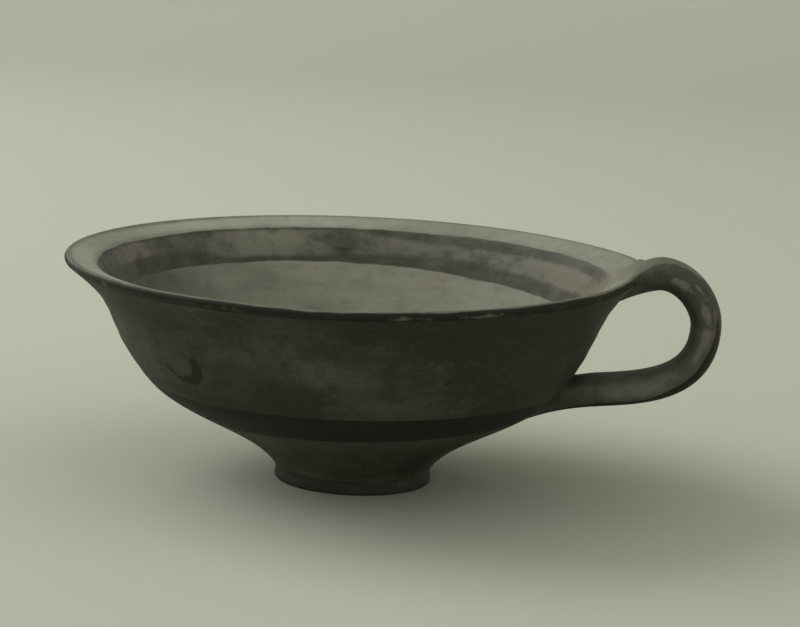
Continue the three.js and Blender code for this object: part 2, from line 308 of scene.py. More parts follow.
def bowl_outline():
    """The bowl's outline as (radius, height) in mm, from the middle of its base, up the outside,
    over the lip and down the inside to the middle of its floor, and the distance in mm along it
    from the outermost point of the lip: below nothing outside, above it inside."""
    lip_centre = np.array([RIM_RADIUS - LIP_ROUNDING, RIM_HEIGHT - LIP_ROUNDING])
    lip_under = lip_centre - left_of(slope(LIP_SLOPE)) * LIP_ROUNDING
    face = slope(LIP_FACE_SLOPE)
    lip_top = lip_centre + left_of(face) * LIP_ROUNDING
    shoulder = lip_top - face * LIP_FACE_WIDTH
    shoulder_start = shoulder + face * SHOULDER_ROUNDING
    inner_knee = np.array(KNEE) + left_of(slope(KNEE_SLOPE)) * WALL
    floor_middle = np.array([0.0, WAIST[1] + FLOOR])
    span = np.linalg.norm(shoulder - inner_knee)
    base = np.linspace([0.0, WAIST[1]], WAIST, 12)
    underside = curve_between(WAIST, WAIST_SLOPE, UNDERSIDE_PULLS[0],
                              KNEE, KNEE_SLOPE, UNDERSIDE_PULLS[1], LONG_STRETCH)
    wall = curve_between(KNEE, KNEE_SLOPE, WALL_PULLS[0],
                         lip_under, LIP_SLOPE, WALL_PULLS[1], LONG_STRETCH)
    edge = arc(lip_centre, LIP_ROUNDING, LIP_SLOPE - 90, LIP_FACE_SLOPE + 90, 13)
    lip_face = np.linspace(lip_top, shoulder_start, 9)
    leaving = shoulder_start - face * SHOULDER_ROUNDING * INNER_WALL_PULLS[0]
    arriving = inner_knee + slope(KNEE_SLOPE) * span * INNER_WALL_PULLS[1]
    inner_wall = bezier(shoulder_start, leaving, arriving, inner_knee, LONG_STRETCH)
    floor = curve_between(inner_knee, KNEE_SLOPE + 180, FLOOR_PULLS[0],
                          floor_middle, 180, FLOOR_PULLS[1], 36)
    parts = [base, underside[1:], wall[1:], edge[1:], lip_face[1:], inner_wall[1:], floor[1:]]
    outline = np.vstack(parts)
    outline[0, 0] = outline[-1, 0] = POLE_RADIUS
    steps = np.linalg.norm(np.diff(outline, axis=0), axis=1)
    distance = np.concatenate([[0], np.cumsum(steps)])
    return outline, distance - distance[np.argmax(outline[:, 0])]


def bump(x, centre, width):
    """A smooth rise of one at the centre, gone two widths away."""
    return np.exp(-((x - centre) / width) ** 2)


def smooth_step(value, low, high):
    """Nothing below low, one above high, smooth between."""
    t = np.clip((value - low) / (high - low), 0, 1)
    return t * t * (3 - 2 * t)


def out_of_true(points):
    """Leans and tilts the bowl as it dried: both grow with height. The lip alone sags in front
    and was pulled up beside the handle, and the wall is pressed in a little on the side away from
    it. Takes and gives mm, with the bowl's axis at nothing."""
    x, y, z = points[..., 0], points[..., 1], points[..., 2]
    share = np.clip(z / RIM_HEIGHT, 0, 1)
    azimuth = np.degrees(np.arctan2(y, x))
    lip = sum(rise * bump(azimuth, middle, breadth) for rise, middle, breadth in LIP_WAVES)
    lip = lip * smooth_step(np.hypot(x, y), LIP_WAVES_FROM_RADIUS, RIM_RADIUS)
    dent = DENT_DEPTH * bump((azimuth % 360) - DENT_AZIMUTH, 0, DENT_BREADTH)
    moved = points.copy()
    moved[..., 0] = x + RIM_LEAN[0] * share + dent * bump(z, DENT_HEIGHT, DENT_REACH)
    moved[..., 1] = y + RIM_LEAN[1] * share
    moved[..., 2] = z + share ** 2 * (RIM_TILT[0] * x + RIM_TILT[1] * y + lip)
    return moved


def in_frame(points):
    """From mm with the bowl's axis at nothing to metres in the frame."""
    return points * MM + np.array([AXIS_X, 0, 0])


outline, along_outline = bowl_outline()


def bowl_surface(azimuth, place):
    """A point on the bowl's surface in mm, at an azimuth in radians and a distance along the
    outline from the edge of the lip: the outline turned to the azimuth, then out of true."""
    radius = np.interp(place, along_outline, outline[:, 0])
    height = np.interp(place, along_outline, outline[:, 1])
    return out_of_true(np.stack([radius * np.cos(azimuth), radius * np.sin(azimuth), height], -1))


def bowl_mesh():
    """The outline carried round the axis: rows follow it and columns go round. Faint rings left
    by the potter's fingers move it in and out by a sum of slow waves along the outline, which
    fade out at the lip's edge and in the middle of the base and floor."""
    azimuth = np.arange(WHEEL_COLUMNS) * 2 * math.pi / WHEEL_COLUMNS
    rows = np.broadcast_to(along_outline[:, None], (len(along_outline), WHEEL_COLUMNS))
    points = bowl_surface(np.broadcast_to(azimuth, rows.shape), rows)
    ring = sum(share * np.sin(rows / length + sway * np.sin(azimuth * times))
               for share, length, sway, times in WHEEL_WAVES)
    fade = np.clip((np.abs(rows) - 3) / 6, 0, 1) * np.clip(outline[:, :1] / 20 - 0.4, 0, 1)
    mark = WHEEL_MARK * ring * fade
    points[..., 2] += mark * 0.6
    points[..., :2] *= (1 + mark / np.maximum(outline[:, :1], 15))[..., None]
    return grid_mesh("bowl_body_clay", in_frame(points), close_v=True), azimuth, rows


def set_attribute(piece, name, values):
    """Puts a number at each vertex, in place of what the attribute held before."""
    layer = piece.data.attributes.get(name) or piece.data.attributes.new(name, "FLOAT", "POINT")
    layer.data.foreach_set("value", np.ascontiguousarray(values, np.float32).reshape(-1))


def close_poles(piece, columns):
    """Merges the tiny ring of points in the first and in the last row into one closed fan each."""
    made = bmesh.new()
    made.from_mesh(piece.data)
    made.verts.ensure_lookup_table()
    ends = list(made.verts)[:columns] + list(made.verts)[-columns:]
    bmesh.ops.remove_doubles(made, verts=ends, dist=0.0002)
    bmesh.ops.recalc_face_normals(made, faces=made.faces)
    made.to_mesh(piece.data)
    made.free()


bowl, bowl_azimuth, bowl_rows = bowl_mesh()
# Where the slip was brushed, as signed distances in mm: above nothing under the slip, below
# nothing on bare clay. It wraps further over the lip behind than in front, and the lip's edge is
# painted darker. The inner band hangs lower towards the handle, and the outer band tilts.
BAND_TOP_HEIGHT = 59.7
BAND_LOW_HEIGHT = 50.7
BAND_LOW_DROP = 3.4
OUTER_BAND_TOP = 29.1
OUTER_BAND_LOW = 20.9
OUTER_BAND_TOP_TILT = 0.012
OUTER_BAND_LOW_TILT = 0.035
LIP_BAND_WIDTH = 1.9
SLIP_EDGE_FRONT = 1.0
SLIP_EDGE_MORE_BEHIND = 0.6
# Where the brush ran dry on the inner band, as depth, azimuth and breadth; the last was filled in
DRY_STRETCHES = ((1.0, 120, 18), (0.6, 84, 14), (0.6, 58, 13), (1.0, 30, 17), (0.7, 165, 10),
                 (-0.4, 100, 3.5))
# Thin patches on the outside: azimuth, height, breadth in degrees, length in mm and depth
THIN_PATCHES = ((-100, 50, 6, 3.5, 0.3), (-91, 42, 9, 4, 0.25), (-112, 45, 12, 6, 0.15),
                (-150, 44, 16, 10, 0.25))
# The two strokes of a smear of thick slip low on the left, each as half its width in mm and its
# run as azimuth in degrees and height in mm
SMEARS = ((0.7, ((-131.8, 38.6), (-130.3, 36.3), (-128, 34.8), (-124.8, 34.8))),
          (1.5, ((-126.5, 35.6), (-124.8, 35.4), (-122.3, 37), (-121.2, 39.5), (-121.5, 41.2))))


def place_at_height(height, inside):
    """Distance along the outline at which the wall passes a height, on one side of the lip."""
    side = along_outline > 1.2 if inside else along_outline < -1.2
    order = np.argsort(outline[side, 1])
    return np.interp(height, outline[side, 1][order], along_outline[side][order])


def degrees_from(azimuth, middle):
    """Degrees from a middle azimuth, from -180 to 180."""
    return (np.degrees(azimuth) - middle + 180) % 360 - 180


def near_line(azimuth, place, run):
    """Distance in mm on the wall to a run of straight strokes, given as azimuth and height: the
    least of the distances to the strokes, each to its nearest point between its two ends."""
    across = np.radians(degrees_from(azimuth, -90)) * KNEE[0]
    corners = [(math.radians(turn + 90) * KNEE[0], float(place_at_height(height, False)))
               for turn, height in run]
    least = np.full(across.shape, 1e3)
    for (x0, y0), (x1, y1) in zip(corners, corners[1:]):
        span = (x1 - x0) ** 2 + (y1 - y0) ** 2
        t = np.clip(((across - x0) * (x1 - x0) + (place - y0) * (y1 - y0)) / span, 0, 1)
        least = np.minimum(least, np.hypot(across - x0 - t * (x1 - x0), place - y0 - t * (y1 - y0)))
    return least


def inner_band_thinness(turn, below_top, above_low):
    """How thin the slip of the inner band is, from nothing to one: thin in its middle, thick in a
    stripe along each edge, and by turns round the wall, where the brush ran dry and was filled."""
    dry = 0.3 + sum(depth * bump(turn, middle, breadth) for depth, middle, breadth in DRY_STRETCHES)
    upper_stripe = 0.2 + 2.9 * smooth_step(102 - turn, 0, 26)
    lower_stripe = 1.0 + 2.9 * smooth_step(112 - turn, 0, 45) + 3.5 * smooth_step(turn, 130, 150)
    between = (smooth_step(below_top - upper_stripe, -0.6, 1.4)
               * smooth_step(above_low - lower_stripe, -0.6, 1.6))
    brushed = np.clip(dry, 0, 1.4) * between
    return np.maximum(brushed, 0.3) + 1.6 * smooth_step(30 - np.abs(turn + 8), 0, 24)


bowl_turn = degrees_from(np.broadcast_to(bowl_azimuth, bowl_rows.shape), 0)
side_turn = degrees_from(np.radians(bowl_turn), -90)
behind = smooth_step(np.sin(np.radians(bowl_turn)), -0.25, 0.3)
slip_edge = SLIP_EDGE_FRONT + SLIP_EDGE_MORE_BEHIND * behind
towards_handle = bump(bowl_turn, 30, 48)
band_top = place_at_height(BAND_TOP_HEIGHT, True)
band_low = place_at_height(BAND_LOW_HEIGHT - BAND_LOW_DROP * towards_handle, True)
seen_turn = np.clip(side_turn, -60, 60)
outer_top = place_at_height(OUTER_BAND_TOP + OUTER_BAND_TOP_TILT * seen_turn, False)
outer_low = place_at_height(OUTER_BAND_LOW + OUTER_BAND_LOW_TILT * seen_turn, False)
lip_band_width = LIP_BAND_WIDTH + 0.9 * bump(bowl_turn, -120, 22)
lip_band = np.minimum(bowl_rows + lip_band_width, slip_edge - bowl_rows)
outer_band = np.minimum(bowl_rows - outer_low, outer_top - bowl_rows)
smear = np.max([half - near_line(np.radians(bowl_turn), bowl_rows, run)
                for half, run in SMEARS], axis=0)
set_attribute(bowl, "cover", slip_edge - bowl_rows)
set_attribute(bowl, "band", np.minimum(bowl_rows - band_top, band_low - bowl_rows))
set_attribute(bowl, "double", np.maximum(np.maximum(lip_band, outer_band), smear))
heights = np.interp(bowl_rows, along_outline, outline[:, 1])
thinness = np.where(bowl_rows > 1.2, inner_band_thinness(
    bowl_turn, bowl_rows - band_top, band_low - bowl_rows), 0.0)
for turn, height, breadth, length, depth in THIN_PATCHES:
    patch = bump(bowl_turn, turn, breadth) * bump(heights, height, length)
    thinness = np.maximum(thinness, depth * patch * (bowl_rows < 0))
# Below the outer band the slip is thin, but for a patch at the front right where it stays dark,
# which is painted shade
thinness = np.maximum(thinness, 0.3 * smooth_step(outer_low - bowl_rows, 0, 1.5))
painted_shade_front_right = bump(bowl_turn, -44, 13)
thinness *= 1 - painted_shade_front_right * smooth_step(outer_low - bowl_rows, 0, 3)
set_attribute(bowl, "thin", thinness)
# Use has rubbed the lip's edge, and handling has darkened the bare clay by it
RIM_WEAR = 0.36
RIM_WEAR_MORE = 0.14
rim_chips = bump(bowl_turn, -134, 9) + bump(bowl_turn, -54, 9)
rim_wear = bump(bowl_rows, -0.8, 1.4) * (RIM_WEAR + RIM_WEAR_MORE * rim_chips)
set_attribute(bowl, "worn", rim_wear)
RIM_SOIL_WIDTH = 3.2
rim_soil_width = RIM_SOIL_WIDTH + 1.1 * bump(degrees_from(np.radians(bowl_turn), 145), 0, 25)
rim_soil = (0.85 - 0.1 * behind) * smooth_step(rim_soil_width - bowl_rows, 0, 1.2)
# Low on the inside, on the side away from the handle, the bare clay is darker: painted shade, with
# stains.
left_shade_and_stain = bump(degrees_from(np.radians(bowl_turn), 175), 0, 38) * smooth_step(bowl_rows, 13, 22)
right_soil = 0.4 * bump(bowl_turn, 20, 42) * smooth_step(bowl_rows, 1, 3)
set_attribute(bowl, "soiled", np.maximum(rim_soil, np.maximum(left_shade_and_stain, right_soil)))
close_poles(bowl, WHEEL_COLUMNS)


# Slip-painted fired clay: a brushed slip, matt to satin, that is streaky where the brush ran dry
# and clouded by wear, over bare fine clay with a faint grain and a soft, chalky surface.
# The thickest slip's tone also paints shade on the handle's outer near face, the soiled clay's tone
# also paints shade low inside the bowl away from the handle, and the worn clay's tone also paints a
# highlight on the handle's lower run.
SLIP_THICK_AND_SHADE = "#1b1a13"
SLIP_DARK = "#302f26"
SLIP_THIN = "#69685b"
CLAY_BARE = "#929285"
CLAY_STAINED = "#747467"
CLAY_SOILED_AND_SHADE = "#57574b"
CLAY_WORN_AND_HIGHLIGHT = "#6c6b5e"
# Sizes in mm of the noises: clouds and streaks in the slip, blotches where it lies thin, the
# clay's grain, the raggedness of brushed edges, stains on bare clay and fine combing of the slip
CLOUD_MM = 1000 / 38
STREAK_MM = 1000 / 45
BLOTCH_MM = 1000 / 160
GRAIN_MM = 1000 / 620
RAGGED_MM = 1000 / 90
STAIN_MM = 1000 / 26
COMBED_MM = 1000 / 110


def pot_noise(tree, place, size_mm, detail, roughness=0.55, squash=1.0, offset=0.0):
    """Noise on Object coordinates in metres, squashed along Z so that its grains run round the
    pot like brush and wheel marks when squash is over one."""
    shift = add_node(tree, "ShaderNodeMapping", [("Vector", place)],
                     inputs={"Location": (offset, offset, offset), "Scale": (1, 1, squash)})
    return add_node(tree, "ShaderNodeTexNoise", [("Vector", shift.outputs[0])],
                    inputs={"Scale": 1000 / size_mm, "Detail": detail,
                            "Roughness": roughness}).outputs[0]


def maths(tree, operation, first, second=None, third=None, clamp=False):
    """One arithmetic node; each operand is a socket or a number."""
    made = tree.nodes.new("ShaderNodeMath")
    made.operation = operation
    made.use_clamp = clamp
    for i, operand in enumerate((first, second, third)):
        if operand is None:
            continue
        if isinstance(operand, (int, float)):
            made.inputs[i].default_value = operand
        else:
            tree.links.new(operand, made.inputs[i])
    return made.outputs[0]


def step_between(tree, value, low, high, to=1.0):
    """Nothing below low, one (or another height) above high, and smooth between."""
    made = add_node(tree, "ShaderNodeMapRange", [(0, value)], interpolation_type="SMOOTHSTEP",
                    in1=low, in2=high, in4=to)
    return made.outputs[0]


def mix_colour(tree, share, first, second):
    """Two colours mixed by a share; each is a socket or a hex colour."""
    made = tree.nodes.new("ShaderNodeMix")
    made.data_type = "RGBA"
    operands = ((made.inputs[0], share), (made.inputs[6], first), (made.inputs[7], second))
    for socket, value in operands:
        if isinstance(value, str):
            socket.default_value = linear(value)
        elif isinstance(value, (int, float)):
            socket.default_value = value
        else:
            tree.links.new(value, socket)
    return made.outputs[2]


def painted_clay(name, wear=0.0):
    """Slip over clay, from six attributes of the surface. Three are signed distances in mm to the
    brushed edges: of the slip, of the inner band and of the dark coat, which on the handle's outer
    near face is also painted shade. One is how thinly the slip was brushed, one how far use has
    rubbed it away, which on the handle's lower run is also a painted highlight, and one how far
    handling has darkened the bare clay, which low inside the bowl away from the handle is also
    painted shade. The same noise in the same frame runs through every piece, so the joins don't
    show. The eye gets a dark satin coat with streaks, thin places and chips, and matt, softly
    stained clay beside it."""
    material, tree, output = new_material(name)
    place = add_node(tree, "ShaderNodeTexCoord").outputs["Object"]
    cover, band, double, thin, worn, soiled = (
        add_node(tree, "ShaderNodeAttribute", attribute_name=layer).outputs["Fac"]
        for layer in ("cover", "band", "double", "thin", "worn", "soiled"))
    cloud = pot_noise(tree, place, CLOUD_MM, 4, 0.6, 1.4, 0.3)
    streak = pot_noise(tree, place, STREAK_MM, 5, 0.65, 9.0, 0.7)
    blotch = pot_noise(tree, place, BLOTCH_MM, 4, 0.62, 1.3, 0.45)
    fine = pot_noise(tree, place, GRAIN_MM, 3, 0.6, 1.0, 0.2)
    ragged = pot_noise(tree, place, RAGGED_MM, 4, 0.6, 3.0, 0.9)
    ragged = maths(tree, "MULTIPLY_ADD", ragged, 1.5, -0.75)

    outside = step_between(tree, maths(tree, "ADD", cover, ragged), -0.25, 0.25)
    in_band = step_between(tree, maths(tree, "ADD", band, ragged), -0.3, 0.3)
    faded = step_between(tree, maths(tree, "MULTIPLY_ADD", blotch, 1.0, thin), 1.4, 2.3, -0.9)
    in_band = maths(tree, "MULTIPLY", in_band, maths(tree, "ADD", faded, 1.0))
    coat = maths(tree, "MAXIMUM", outside, in_band)

    mottled = maths(tree, "MULTIPLY_ADD", blotch, 2.8, -0.45)
    thin = maths(tree, "MULTIPLY", thin, mottled)
    thin = maths(tree, "ADD", thin, step_between(tree, cloud, 0.45, 0.75, 0.3))
    thin = maths(tree, "ADD", thin, step_between(tree, streak, 0.5, 0.8, 0.16))
    thin = maths(tree, "ADD", thin, maths(tree, "MULTIPLY_ADD", fine, 0.4, wear - 0.2), clamp=True)
    slip = mix_colour(tree, thin, SLIP_DARK, SLIP_THIN)
    dark_coat_and_shade_reach = maths(tree, "MULTIPLY_ADD", ragged, 0.5, double)
    slip = mix_colour(tree, step_between(tree, dark_coat_and_shade_reach, -0.25, 0.25, 0.9), slip, SLIP_THICK_AND_SHADE)
    rubbed_and_highlight = maths(tree, "MULTIPLY_ADD", blotch, 1.2, -0.6)
    rubbed_and_highlight = maths(tree, "ADD", rubbed_and_highlight, maths(tree, "MULTIPLY_ADD", fine, 0.7, -0.35))
    rubbed_and_highlight = maths(tree, "MULTIPLY_ADD", worn, 1.1, rubbed_and_highlight)
    slip = mix_colour(tree, step_between(tree, rubbed_and_highlight, 0.4, 0.85, 0.8), slip, CLAY_WORN_AND_HIGHLIGHT)

    stain = pot_noise(tree, place, STAIN_MM, 5, 0.6, 2.2, 0.5)
    clay = mix_colour(tree, step_between(tree, stain, 0.38, 0.72, 0.8), CLAY_BARE, CLAY_STAINED)
    clay = mix_colour(tree, step_between(tree, fine, 0.5, 0.8, 0.4), clay, CLAY_STAINED)
    clay = mix_colour(tree, step_between(tree, blotch, 0.5, 0.75, 0.3), clay, CLAY_SOILED_AND_SHADE)
    uneven = maths(tree, "MULTIPLY_ADD", blotch, 0.8, 0.55)
    soil_and_shade_share = maths(tree, "MULTIPLY", soiled, uneven, clamp=True)
    clay = mix_colour(tree, soil_and_shade_share, clay, CLAY_SOILED_AND_SHADE)
    colour = mix_colour(tree, coat, clay, slip)
    roughness = maths(tree, "MULTIPLY_ADD", coat, -0.22, 0.85)
    combed = pot_noise(tree, place, COMBED_MM, 3, 0.6, 8.0, 0.2)
    relief = maths(tree, "MULTIPLY_ADD", fine, 0.35, combed)
    relief = maths(tree, "MULTIPLY_ADD", coat, 0.25, relief)
    dent = add_node(tree, "ShaderNodeBump", [("Height", relief)],
                    inputs={"Strength": 0.3, "Distance": 0.0004})
    shader = add_node(tree, "ShaderNodeBsdfPrincipled",
                      [("Base Color", colour), ("Roughness", roughness),
                       ("Normal", dent.outputs[0])],
                      inputs={"Specular IOR Level": 0.2})
    tree.links.new(shader.outputs[0], output.inputs[0])
    return material


bowl.data.materials.append(painted_clay("slip_painted_bowl_clay"))
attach(bowl, "root")
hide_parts("bowl_body")


# The foot is a ring of the same clay, turned true on the wheel and luted to the base. Slip covers
# its side, and standing on it has rubbed its lower edge.
foot_low, foot_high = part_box("foot_ring")
FOOT_RADIUS = (foot_high.y - foot_low.y) / 2 / MM
FOOT_HEIGHT = foot_high.z / MM
FOOT_RING_WIDTH = 6.0
FOOT_INSIDE = FOOT_RADIUS - FOOT_RING_WIDTH
FOOT_EDGE = 0.8
FOOT_JOIN = 0.5
FOOT_WEAR = 0.55
FOOT_WEAR_HEIGHT = 0.4


def turned_ring(name, section, columns=240):
    """A closed outline of (radius, height) in mm carried round the bowl's axis: rows follow the
    outline and close on themselves, columns go round."""
    azimuth = np.arange(columns) * 2 * math.pi / columns
    radius = section[:, :1] * (1 + 0.0015 * np.sin(azimuth * 2 + 1))
    points = np.empty((len(section), columns, 3))
    points[..., 0] = radius * np.cos(azimuth)
    points[..., 1] = radius * np.sin(azimuth)
    points[..., 2] = section[:, 1:]
    return grid_mesh(name, in_frame(points), close_u=True, close_v=True)


def plain_slip(piece, cover=5.0, worn=0.0):
    """Slip all over a piece, with every painted band far off."""
    count = len(piece.data.vertices)
    far_off = -20.0
    for name, value in (("cover", cover), ("band", far_off), ("double", far_off), ("thin", 0.0),
                        ("worn", worn), ("soiled", 0.0)):
        set_attribute(piece, name, np.broadcast_to(np.asarray(value, float), (count,)))


def foot_section():
    """The ring's outline: a flat underside, a round lower edge, a slightly hollowed side that
    runs up past the base into the waist, and a plain inner side."""
    low = arc((FOOT_RADIUS - FOOT_EDGE, FOOT_EDGE), FOOT_EDGE, -90, 0, 7)
    waist_edge = np.array([WAIST[0] + 0.05, WAIST[1] + FOOT_JOIN])
    side = bezier(low[-1], low[-1] + [0.0, 1.0], waist_edge + [0.05, -0.7], waist_edge, 9)
    top = [[WAIST[0] - 1.5, WAIST[1] + FOOT_JOIN], [FOOT_INSIDE, FOOT_HEIGHT]]
    inner = [[FOOT_INSIDE, 0.5], [FOOT_INSIDE + 0.5, 0.0]]
    return np.vstack([low, side[1:], top, inner])


foot = turned_ring("foot_ring_clay", foot_section())
foot_heights = np.array([v.co.z for v in foot.data.vertices]) / MM
plain_slip(foot, worn=FOOT_WEAR * np.exp(-foot_heights / FOOT_WEAR_HEIGHT))
foot.data.materials.append(painted_clay("slip_painted_foot_clay", wear=-0.1))
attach(foot, "root")
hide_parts("foot_ring")


# Inside the ring, slip was wiped into the corner with the base and left a small hollow fillet.
# It was never painted, so it is bare clay.
FILLET = 2.2

corner = np.array([FOOT_INSIDE + 0.4, FOOT_HEIGHT + 0.6])
hollow = bezier((FOOT_INSIDE - 0.1 - FILLET, FOOT_HEIGHT + 0.3),
                (FOOT_INSIDE - 0.8, FOOT_HEIGHT + 0.2),
                (FOOT_INSIDE - 0.1, FOOT_HEIGHT - 0.6), (FOOT_INSIDE, FOOT_HEIGHT - FILLET), 10)
buried = [[FOOT_INSIDE - FILLET, corner[1]], corner]
fillet = turned_ring("foot_luting_clay", np.vstack([hollow[::-1], buried]))
plain_slip(fillet, cover=-5.0)
fillet.data.materials.append(painted_clay("bare_foot_luting_clay"))
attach(fillet, "root")
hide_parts("foot_luting")


# The handle is one strap of clay, pulled to a rounded oblong section, bent over while soft and
# luted on at the lip and low on the wall. Brushed slip covers it, bare on top by the lip.
strap_low, strap_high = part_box("strap_handle")
STRAP_HALF_WIDTH = (strap_high.y - strap_low.y) / 2 / MM
STRAP_THICKNESS = 8.5
STRAP_SQUARENESS = 2.5
ROOT_THICKNESS = 5.2
ROOT_TAPER = 13.0
CREST_OVERHANG = 2.5
HANDLE_RISE = 5.6
BEND_HEIGHT = 49.9
UPPER_ROOT_INSET = 9.8
UPPER_ROOT_DROP = 5.6
CREST = np.array([RIM_RADIUS + CREST_OVERHANG, RIM_HEIGHT + HANDLE_RISE - STRAP_THICKNESS / 2])
BEND = np.array([(strap_high.x - AXIS_X) / MM - STRAP_THICKNESS / 2, BEND_HEIGHT])
UPPER_ROOT = np.array([RIM_RADIUS - UPPER_ROOT_INSET, RIM_HEIGHT - UPPER_ROOT_DROP])
UPPER_ROOT_SLOPE = 36.0
LOWER_ROOT = np.array([58.1, 28.9])
LOWER_RUN_SLOPE = 10.2
STRAP_COLUMNS = 96
STRAP_SINK = 3.0
UPPER_PULL = 0.38
OVER_PULLS = (0.59, 0.41)
UNDER_PULLS = (0.965, 0.4)


def strap_line():
    """The strap's middle line in its own plane as (radius, height) in mm: four smooth curves that
    share their directions at the crest and the bend, and the distance along them."""
    into_wall = slope(180 + LOWER_RUN_SLOPE)
    first = curve_between(UPPER_ROOT, UPPER_ROOT_SLOPE, UPPER_PULL, CREST, 0, UPPER_PULL, 60)
    over = bezier(CREST, CREST + [(BEND[0] - CREST[0]) * OVER_PULLS[0], 0],
                  BEND + [0, (CREST[1] - BEND[1]) * OVER_PULLS[1]], BEND, 60)
    under = bezier(BEND, BEND - [0, (BEND[1] - LOWER_ROOT[1]) * UNDER_PULLS[0]],
                   LOWER_ROOT - into_wall * (BEND[0] - LOWER_ROOT[0]) * UNDER_PULLS[1],
                   LOWER_ROOT, 80)
    end = np.linspace(LOWER_ROOT, LOWER_ROOT + into_wall * STRAP_SINK, 6)
    line = np.vstack([first, over[1:], under[1:], end[1:]])
    distance = np.concatenate([[0], np.cumsum(np.linalg.norm(np.diff(line, axis=0), axis=1))])
    return line, distance


strap_points, strap_distance = strap_line()
STRAP_LENGTH = strap_distance[-1]
# How the strap's sides wander: reach and wavelength over two pi in mm, and start in radians
STRAP_WANDER = ((0.12, 5.3, 1.2), (0.08, 2.9, 0.4))


def strap_ring(distance, angle, grow=0.0):
    """Points of the strap's surface in mm, the bowl's axis at nothing: at a distance along the
    middle line, an oblong with round corners, where 90 degrees is the outer face of the loop.
    Its sides wander a little, as a strap pulled by hand does."""
    x = np.interp(distance, strap_distance, strap_points[:, 0])
    z = np.interp(distance, strap_distance, strap_points[:, 1])
    dx = np.gradient(strap_points[:, 0], strap_distance)
    dz = np.gradient(strap_points[:, 1], strap_distance)
    tx, tz = np.interp(distance, strap_distance, dx), np.interp(distance, strap_distance, dz)
    pace = np.hypot(tx, tz)
    tx, tz = tx / pace, tz / pace
    full = smooth_step(distance, 0, ROOT_TAPER)
    thickness = ROOT_THICKNESS + (STRAP_THICKNESS - ROOT_THICKNESS) * full
    wander = sum(reach * np.sin(distance / wave + start) for reach, wave, start in STRAP_WANDER)
    power = 2 / STRAP_SQUARENESS
    across = np.sign(np.cos(angle)) * np.abs(np.cos(angle)) ** power
    across = across * (STRAP_HALF_WIDTH + wander + grow)
    up = np.sign(np.sin(angle)) * np.abs(np.sin(angle)) ** power * (thickness / 2 + grow)
    return np.stack([x - tz * up, across, z + tx * up], -1), np.stack([tx, 0 * tx, tz], -1)


# The upper luting takes over from the strap just outside the lip, and the lower one short of the
# wall; past those rings the strap draws in and runs on inside them.
UPPER_RING = 15.5
COLLAR_LENGTH = 9.0
LOWER_RING = STRAP_LENGTH - STRAP_SINK - COLLAR_LENGTH
HIDDEN_START = 2.0
HIDDEN_SHRINK = -1.5
HIDDEN_RUN = 6.0

angles = (np.arange(STRAP_COLUMNS) * 2 * math.pi / STRAP_COLUMNS)[None, :]
stations = np.concatenate([np.linspace(HIDDEN_START, UPPER_RING, 8)[:-1],
                           np.linspace(UPPER_RING, LOWER_RING, 150),
                           np.linspace(LOWER_RING, STRAP_LENGTH, 8)[1:]])[:, None]
hidden = np.maximum(smooth_step(UPPER_RING - stations, 0, HIDDEN_RUN),
                    smooth_step(stations - LOWER_RING, 0, HIDDEN_RUN))
strap_surface = strap_ring(stations + 0 * angles, angles + 0 * stations,
                           HIDDEN_SHRINK * hidden)[0]


def capped_tube(surface):
    """A tube of rings with one tiny ring more at each end, round the end ring's middle, for
    close_poles to merge."""
    ends = surface[[0, -1]]
    middles = ends.mean(axis=1, keepdims=True)
    tiny = middles + (ends - middles) * 0.001
    return np.vstack([tiny[:1], surface, tiny[1:]])


strap = grid_mesh("strap_handle_clay", in_frame(capped_tube(strap_surface)), close_v=True)
strap_at = np.vstack([stations[:1], stations, stations[-1:]]) + 0 * angles
strap_turn = angles + 0 * strap_at
STRAP_MM_PER_DEGREE = 0.128
TONGUE_HALF = 40
TONGUE_NARROWS, TONGUE_ENDS = 14, 22
DARK_COAT_AND_SHADE_TURN = 134
DARK_COAT_AND_SHADE_START = 33


def bare_half(distance):
    """Half the breadth, in degrees round the strap, of the bare tongue on its outer face, which
    narrows and ends past the crest."""
    narrowed = TONGUE_HALF * (1 - smooth_step(distance, TONGUE_NARROWS, TONGUE_ENDS))
    return narrowed - 12 * smooth_step(distance, 18, TONGUE_ENDS)


def strap_cover(distance, angle):
    """Signed distance in mm to the edge of the slip, on either side of the bare tongue."""
    return (np.abs(degrees_from(angle, 90)) - bare_half(distance)) * STRAP_MM_PER_DEGREE


def strap_dark_coat_and_shade(distance, angle):
    """Signed distance in mm to the edge of a dark band along the strap's outer near corner, from
    the bend to the lower root: partly a second, darker coat of slip and partly painted shade on
    that outer face."""
    half_width = (1.0 + 2.9 * smooth_step(distance, DARK_COAT_AND_SHADE_START, 44)
                  - 1.9 * smooth_step(distance, 52, 62))
    off = np.abs(degrees_from(angle, DARK_COAT_AND_SHADE_TURN)) * STRAP_MM_PER_DEGREE
    return np.minimum(half_width - off, distance - DARK_COAT_AND_SHADE_START)


# Rubbed patches, each as distance along the strap, angle round it, length, breadth and depth.
# The one at 60 mm and 188 degrees is a painted highlight on the lower run, in the worn clay's tone.
RUBBED_AND_HIGHLIGHT = ((18, 92, 6, 34, 0.85), (22, 98, 4, 22, 0.7), (20.5, 176, 4.5, 16, 1.0),
          (25, 150, 3, 12, 0.7), (31, 172, 5, 13, 0.95), (37, 178, 4.5, 14, 1.0),
          (42.5, 186, 3.5, 12, 0.95), (33, 140, 4, 12, 0.6), (52, 205, 6, 26, 0.7),
          (60, 188, 6, 22, 0.9), (67, 196, 5, 20, 0.6), (28, 5, 8, 22, 0.7),
          (44, 355, 9, 20, 0.6), (63, 350, 10, 26, 0.7), (38, 80, 7, 24, 0.4),
          (56, 70, 9, 26, 0.35))
